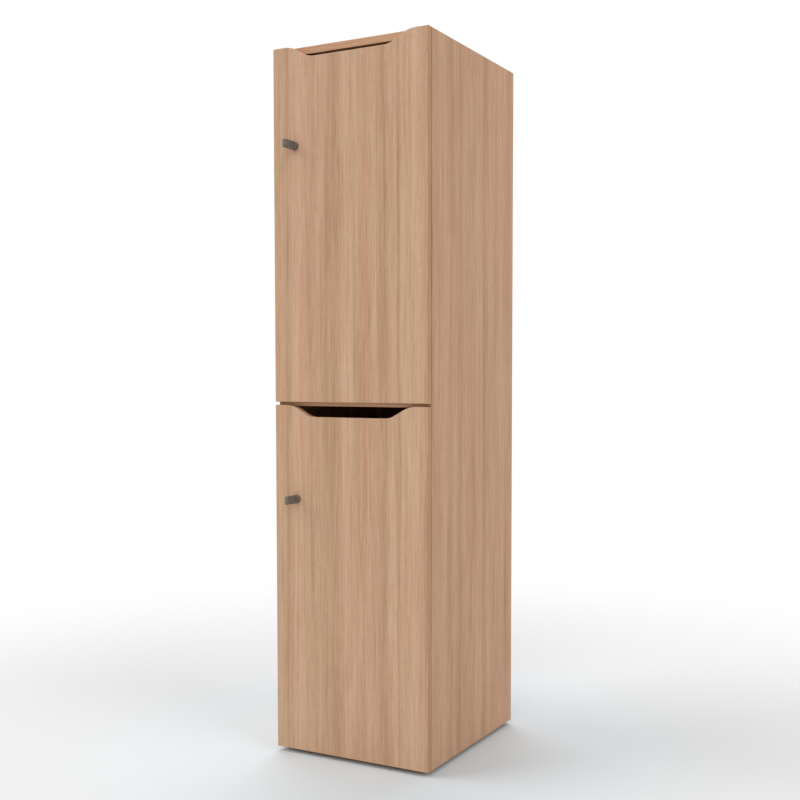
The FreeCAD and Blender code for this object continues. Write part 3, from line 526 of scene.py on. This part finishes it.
def carved(mesh, cutters):
    """The mesh without the room that each cutter takes."""
    collection = bpy.context.scene.collection
    whole = bpy.data.objects.new("whole", mesh)
    collection.objects.link(whole)
    tools = []
    for cutter in cutters:
        tool = bpy.data.objects.new("tool", cutter)
        collection.objects.link(tool)
        cut = whole.modifiers.new("cut", "BOOLEAN")
        cut.operation = "DIFFERENCE"
        cut.solver = "EXACT"
        cut.object = tool
        tools.append(tool)
    bpy.context.view_layer.update()
    result = bpy.data.meshes.new_from_object(whole.evaluated_get(bpy.context.evaluated_depsgraph_get()))
    for done in tools + [whole]:
        bpy.data.objects.remove(done)
    # The cuts leave a few corners that all but touch
    clean = bmesh.new()
    clean.from_mesh(result)
    bmesh.ops.remove_doubles(clean, verts=clean.verts, dist=CUT_WELD)
    bmesh.ops.dissolve_degenerate(clean, edges=clean.edges, dist=CUT_WELD)
    clean.to_mesh(result)
    clean.free()
    return result


def cross_cutters(half_long, half_wide, deep, top):
    """Two crossed tapered blocks that leave a cross recess in a head."""
    floor, above = top - deep, top + RECESS_CLEAR
    floor_long, floor_wide = half_long * RECESS_FLOOR_LENGTH, half_wide * RECESS_FLOOR_WIDTH
    # The slope from the floor to the rim goes on up to the top of the cutters
    top_long = half_long * (1 + RECESS_CLEAR / deep * (1 - RECESS_FLOOR_LENGTH))
    top_wide = half_wide * RECESS_TOP_WIDTH
    return [
        taper_block((floor_long, floor_wide, floor), (top_long, top_wide, above)),
        taper_block((floor_wide, floor_long, floor), (top_wide, top_long, above)),
    ]


def piece_from(node, mesh_and_places):
    """One piece in place of a node, from meshes set at their places."""
    shape = bmesh.new()
    for mesh, place in mesh_and_places:
        placed = mesh.copy()
        placed.transform(place)
        shape.from_mesh(placed)
        bpy.data.meshes.remove(placed)
    mesh = bpy.data.meshes.new(f"{node}_detail")
    shape.to_mesh(mesh)
    shape.free()
    mesh.shade_smooth()
    mesh.set_sharp_from_angle(angle=SHARP_TURN)
    piece = bpy.data.objects.new(f"{node}_detail", mesh)
    bpy.context.scene.collection.objects.link(piece)
    paint(piece, SLOTS[node])
    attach(piece, NODES[node]["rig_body"])
    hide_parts(node)


def facing_place(box, direction, seat_back, spin=0.0):
    """Where a Z-up mesh goes on a solid's box so that its Z runs along a direction.

    Its origin sits so many millimetres back from that end of the box.
    """
    low, high = box
    centre = (low + high) / 2
    axis = max((X, Y, Z), key=lambda k: abs(direction[k]))
    end = high[axis] if direction[axis] > 0 else low[axis]
    centre[axis] = end - direction[axis] * seat_back * MM
    turn = Vector(direction).to_track_quat("Z", "Y").to_matrix().to_4x4()
    return Matrix.Translation(centre) @ turn @ Matrix.Rotation(spin, 4, "Z")


def on_right(box):
    """Whether a solid is in the right half of the locker."""
    return box[0].x + box[1].x > 0


# Screws, with their seat at the origin and their head up, in millimetres

# Shares of the shank's radius: the core, the crest of the thread, the neck and the end of a point
CORE, CREST, NECK, POINT_END = 0.68, 0.99, 0.96, 0.12
# Shares of the core's radius: the top of a point, and the end of a blunt tip
POINT_TOP, BLUNT_END = 0.9, 0.85
# How long a point and a blunt tip are, how far above them the thread starts, and the heights at
# which it ends and the neck starts
POINT_LONG, BLUNT_LONG = 1.6, 0.3
TIP_GAP = 0.05
THREAD_END, NECK_START = -0.9, -0.6
# The rings of a head, as shares of its height and of its radius
HEAD_DOME = ((0.0, 0.96), (0.12, 1.0), (0.35, 0.99), (0.62, 0.9), (0.82, 0.76), (0.95, 0.55), (1.0, 0.3))
# The recess: half its length and its depth as shares of the head's radius and height, and half its
# width as a share of the radius and a little more
RECESS_LONG, RECESS_DEEP = 0.52, 0.75
RECESS_WIDE, RECESS_MORE = 0.1, 0.12
# Head radius and height, shank radius, length, pitch, and whether the tip is a point
SCREWS = {
    "wood": (3.6, 1.4, 1.75, 13, 1.5, True),
    "short": (3.6, 1.4, 1.75, 8, 1.5, True),
    "adjuster": (4.6, 2.5, 3.0, 8, 1.0, False),
    "middle": (5.0, 2.2, 2.0, 10, 0.7, False),
    "setter": (3.2, 1.6, 2.0, 8, 0.7, False),
}
# The way that the heads of a node face, and its kinds of screw; where there are two, the first is
# the one whose solid is narrower than the limit
SCREW_SETS = {
    "coat_hook_screws": ((0, -1, 0), ("short",)),
    "strike_screws": ((1, 0, 0), ("wood",)),
    "hinge_plate_screws": ((-1, 0, 0), ("wood",)),
    "hinge_arm_screws": ((-1, 0, 0), ("setter", "adjuster")),
    "upper_cup_screws": ((0, 1, 0), ("wood",)),
    "upper_cam_screw": ((0, 1, 0), ("middle",)),
    "lower_cup_screws": ((0, 1, 0), ("wood",)),
    "lower_cam_screw": ((0, 1, 0), ("middle",)),
}
NARROW_LIMIT = 8.0
# How far each screw of a node is turned from the one before it, in radians
SPIN = 2.4


def screw_mesh(head_radius, head_height, shank, long, pitch, pointed):
    """A domed screw with a cross recess."""
    core = shank * CORE
    if pointed:
        tip = [(-long, POINT_END * shank), (-long + POINT_LONG, core * POINT_TOP)]
    else:
        tip = [(-long, core * BLUNT_END), (-long + BLUNT_LONG, core)]
    rows = tip + thread_rows(tip[-1][0] + TIP_GAP, THREAD_END, core, shank * CREST, pitch)
    rows += [(NECK_START, shank * NECK), (0.0, shank * NECK)]
    rows += [(height * head_height, radius * head_radius) for height, radius in HEAD_DOME]
    recess = cross_cutters(head_radius * RECESS_LONG, head_radius * RECESS_WIDE + RECESS_MORE,
                           head_height * RECESS_DEEP, head_height)
    return carved(round_solid(rows), recess)


def make_screws():
    """Every screw, with its head the way it faces."""
    meshes = {kind: screw_mesh(*size) for kind, size in SCREWS.items()}
    for node, (direction, kinds) in SCREW_SETS.items():
        across = Y if direction[Y] == 0 else X
        places = []
        for i, (low, high) in enumerate(solids_of(node)):
            narrow = (high[across] - low[across]) / MM < NARROW_LIMIT
            kind = kinds[0] if narrow else kinds[-1]
            head_height = SCREWS[kind][1]
            places.append((meshes[kind], facing_place((low, high), direction, head_height, SPIN * i)))
        piece_from(node, places)


# Carcass fittings, in millimetres, with (height, radius) rows for what is round

# A cam fitting, its face at the origin: the disc, the bore for the bolt's head, with its depth below
# the face, and the slot and cross in the face
CAM_DISC = [(-13.0, 7.1), (-12.6, 7.5), (-0.7, 7.5), (-0.2, 7.3), (0.0, 7.0), (0.0, 6.1), (-0.4, 5.9)]
CAM_BORE = [(4.4, 3.6), (9.0, 3.6)]
CAM_BORE_DEPTH = 9
CAM_SLOT = ((4.2, 0.45, -1.6), (4.6, 0.55, 0.5))
CAM_CROSS = (3.3, 0.75, 2.6, -0.4)
# A cam bolt: the threaded end below its collar, and the collar, stem and ball above
BOLT_END = [(-11.0, 1.3), (-10.7, 1.7)]
BOLT_THREAD = (-10.6, -0.8, 1.75, 2.48, 1.6)
BOLT_STEM = [
    (-0.5, 2.3), (0.0, 2.3), (0.0, 3.48), (1.4, 3.48), (2.0, 2.7), (24.6, 2.7), (25.4, 1.7),
    (27.2, 1.7), (27.9, 2.9), (28.6, 3.2), (29.2, 3.0), (29.5, 2.3),
]
# A dowel with flutes
FLUTES = fluted(4.0, count=14, depth=0.28)
DOWEL = [(-30.0, 3.0), (-29.2, 3.7), (-28.6, FLUTES), (-1.4, FLUTES), (-0.8, 3.7), (0.0, 3.0)]


def make_cam_fittings():
    """The discs under the boards, each with its bore towards the nearer side panel."""
    bore = round_solid(CAM_BORE)
    level = Matrix.Rotation(math.radians(-90), 4, "Y")
    bore.transform(Matrix.Translation((0, 0, -CAM_BORE_DEPTH * MM)) @ level)
    cutters = cross_cutters(*CAM_CROSS) + [taper_block(*CAM_SLOT), bore]
    fitting = carved(round_solid(CAM_DISC, around=40), cutters)
    places = []
    for box in solids_of("cam_fittings"):
        flip = Matrix.Rotation(math.pi, 4, "Z") if on_right(box) else Matrix.Identity(4)
        face = (box[0] + box[1]) / 2
        face.z = box[0].z
        places.append((fitting, Matrix.Translation(face) @ Matrix.Rotation(math.pi, 4, "X") @ flip))
    piece_from("cam_fittings", places)


def make_cam_bolts():
    """The bolts that stand in the side panels."""
    bolt = round_solid(BOLT_END + thread_rows(*BOLT_THREAD) + BOLT_STEM, around=20)
    long = BOLT_STEM[-1][0]
    places = []
    for box in solids_of("cam_bolts"):
        inward = (-1, 0, 0) if on_right(box) else (1, 0, 0)
        places.append((bolt, facing_place(box, inward, long)))
    piece_from("cam_bolts", places)


def make_dowels():
    """The dowels between the side panels and the boards."""
    dowel = round_solid(DOWEL, around=56)
    boxes = solids_of("panel_dowels")
    piece_from("panel_dowels", [(dowel, facing_place(box, (1, 0, 0), 0)) for box in boxes])


# Buffers and feet, in millimetres, with (height, radius) rows

# The dome of a buffer, its heights as shares of its thickness
BUFFER_DOME = ((0.0, 3.8), (0.18, 4.0), (0.47, 3.85), (0.7, 3.4), (0.88, 2.6), (0.97, 1.6), (1.0, 0.5))
# A foot's stem, from its lower end up, with its top at the origin
STEM_END = [(-23.0, 3.2), (-22.6, 3.5)]
STEM_THREAD = (-22.5, -0.6, 3.4, 3.99, 1.25)
STEM_TOP = [(-0.5, 3.4), (0.0, 2.9)]
# A foot's pad with a ribbed skirt and a six-sided collar, and the socket for its stem
RIBS = fluted(15.0, count=30, depth=0.45)
PAD = [
    (0.0, 14.0), (0.3, 14.7), (1.0, 15.0), (1.2, RIBS), (2.8, RIBS), (3.1, 14.7), (3.6, 13.8), (4.9, 11.2),
    (5.4, 10.1), (5.5, six_sided(7.7)), (7.3, six_sided(7.7)), (7.9, six_sided(7.2)), (8.0, 6.6),
]
SOCKET = [(3.0, 4.0), (9.0, 4.0)]


def make_buffers():
    """Soft domes that the doors close on."""
    boxes = solids_of("door_buffers")
    thick = (boxes[0][1].y - boxes[0][0].y) / MM
    dome = round_solid([(height * thick, radius) for height, radius in BUFFER_DOME], around=32)
    piece_from("door_buffers", [(dome, facing_place(box, (0, -1, 0), thick)) for box in boxes])


def make_feet():
    """The threaded stems and the pads that they stand in."""
    stem = round_solid(STEM_END + thread_rows(*STEM_THREAD) + STEM_TOP)
    pad = carved(round_solid(PAD, around=120), [round_solid(SOCKET, around=32)])
    for foot in FEET:
        for name, mesh, height in (("stem", stem, 0), ("pad", pad, PAD[-1][0])):
            node = f"foot_{name}_{foot}"
            piece_from(node, [(mesh, facing_place(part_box(node), (0, 0, 1), height))])


make_screws()
make_cam_fittings()
make_cam_bolts()
make_dowels()
make_buffers()
make_feet()


# The floor, the lights and the camera

FLOOR_HALF = 30.0
FLOOR_ROUGHNESS = 0.9
FLOOR_SHINE = 0.1
# How far from the locker's middle the floor starts to fade, and where it is white
FADE_RANGE = (0.85, 2.6)
# Near the locker the floor's colour is painted a little cooler than further away, a painted tint against
# the warm light that the locker throws on it
FLOOR_NEAR, FLOOR_FAR = (0.660, 0.698, 0.723, 1.0), (0.690, 0.698, 0.704, 1.0)
PAINTED_COOL_RANGE = (0.5, 1.0)
WHITE = (1.0, 1.0, 1.0, 1.0)
WORLD_LIGHT = 0.40
# Where each lamp stands, how wide it looks in degrees, and its level
LAMPS = {
    "left": ((-0.89, -0.45, 0.80), 45.0, 0.42),
    "right": ((1.22, -0.18, 0.90), 40.0, 0.24),
    "back": ((-0.47, 0.88, 1.70), 45.0, 0.40),
    "front": ((0.33, -0.94, 0.55), 40.0, 0.235),
}
# The camera's place, its turn in degrees, its lens and sensor in millimetres, its shift and its reach
CAMERA_AT = (1.5238, -2.6587, 0.9928)
CAMERA_TURN = (86.929, -0.014, 27.956)
CAMERA_LENS = 51.421
CAMERA_SENSOR = 36.0
CAMERA_SHIFT = (-0.0384, 0.0438)
CAMERA_REACH = 200.0


def floor_material():
    """Pale grey with a painted cool tint near the locker against its warm thrown light, that fades to
    white away from the locker, to the eye only.
    """
    shader = Shader("floor")
    shader.give("Roughness", FLOOR_ROUGHNESS)
    shader.give("Specular IOR Level", FLOOR_SHINE)
    away = shader.length(shader.place())
    # Painted cool tint near the locker, against the warm light that the locker throws on the floor
    shader.give("Base Color", shader.mix(shader.ramp(away, *PAINTED_COOL_RANGE), FLOOR_NEAR, FLOOR_FAR))
    fade = shader.math("MULTIPLY", shader.ramp(away, *FADE_RANGE), seen_rays(shader.tree))
    glow = shader.add("ShaderNodeEmission", Color=WHITE, Strength=1.0)
    blend = shader.add("ShaderNodeMixShader")
    for spot, value in zip(blend.inputs, (fade, shader.surface.outputs[0], glow.outputs[0])):
        join(shader.tree, spot, value)
    join(shader.tree, shader.tree.nodes["Material Output"].inputs["Surface"], blend.outputs[0])
    return shader.material


def make_floor():
    """A broad floor that keeps the locker's shadow."""
    mesh = bpy.data.meshes.new("floor")
    corners = [(x * FLOOR_HALF, y * FLOOR_HALF, 0) for x, y in ((-1, -1), (1, -1), (1, 1), (-1, 1))]
    mesh.from_pydata(corners, [], [(0, 1, 2, 3)])
    mesh.materials.append(floor_material())
    floor = bpy.data.objects.new("floor", mesh)
    bpy.context.scene.collection.objects.link(floor)


def make_world():
    """White to the eye, and an even soft light on the object."""
    world = bpy.data.worlds.new("studio")
    bpy.context.scene.world = world
    world.use_nodes = True
    tree = world.node_tree
    background = tree.nodes["Background"]
    background.inputs["Color"].default_value = WHITE
    level = tree.nodes.new("ShaderNodeMapRange")
    join(tree, level.inputs["Value"], seen_rays(tree))
    join(tree, level.inputs["To Min"], WORLD_LIGHT)
    join(tree, level.inputs["To Max"], 1.0)
    join(tree, background.inputs["Strength"], level.outputs[0])


def far_light(name, towards, spread, level):
    """A far soft lamp that lights what faces it at a level, seen as wide as the spread in degrees."""
    lamp = bpy.data.lights.new(name, "SUN")
    lamp.angle = math.radians(spread)
    lamp.energy = level * math.pi
    thing = bpy.data.objects.new(name, lamp)
    thing.location = Vector(towards)
    thing.rotation_euler = (-Vector(towards)).to_track_quat("-Z", "Y").to_euler()
    bpy.context.scene.collection.objects.link(thing)


def make_camera():
    """The photograph's view."""
    camera = bpy.data.cameras.new("view")
    camera.lens = CAMERA_LENS
    camera.sensor_width = CAMERA_SENSOR
    camera.shift_x, camera.shift_y = CAMERA_SHIFT
    camera.clip_end = CAMERA_REACH
    thing = bpy.data.objects.new("view", camera)
    thing.location = CAMERA_AT
    thing.rotation_euler = [math.radians(turn) for turn in CAMERA_TURN]
    bpy.context.scene.collection.objects.link(thing)
    bpy.context.scene.camera = thing


make_floor()
make_world()
for lamp_name, (towards, spread, level) in LAMPS.items():
    far_light(lamp_name, towards, spread, level)
make_camera()
bpy.context.scene.view_settings.view_transform = "Standard"
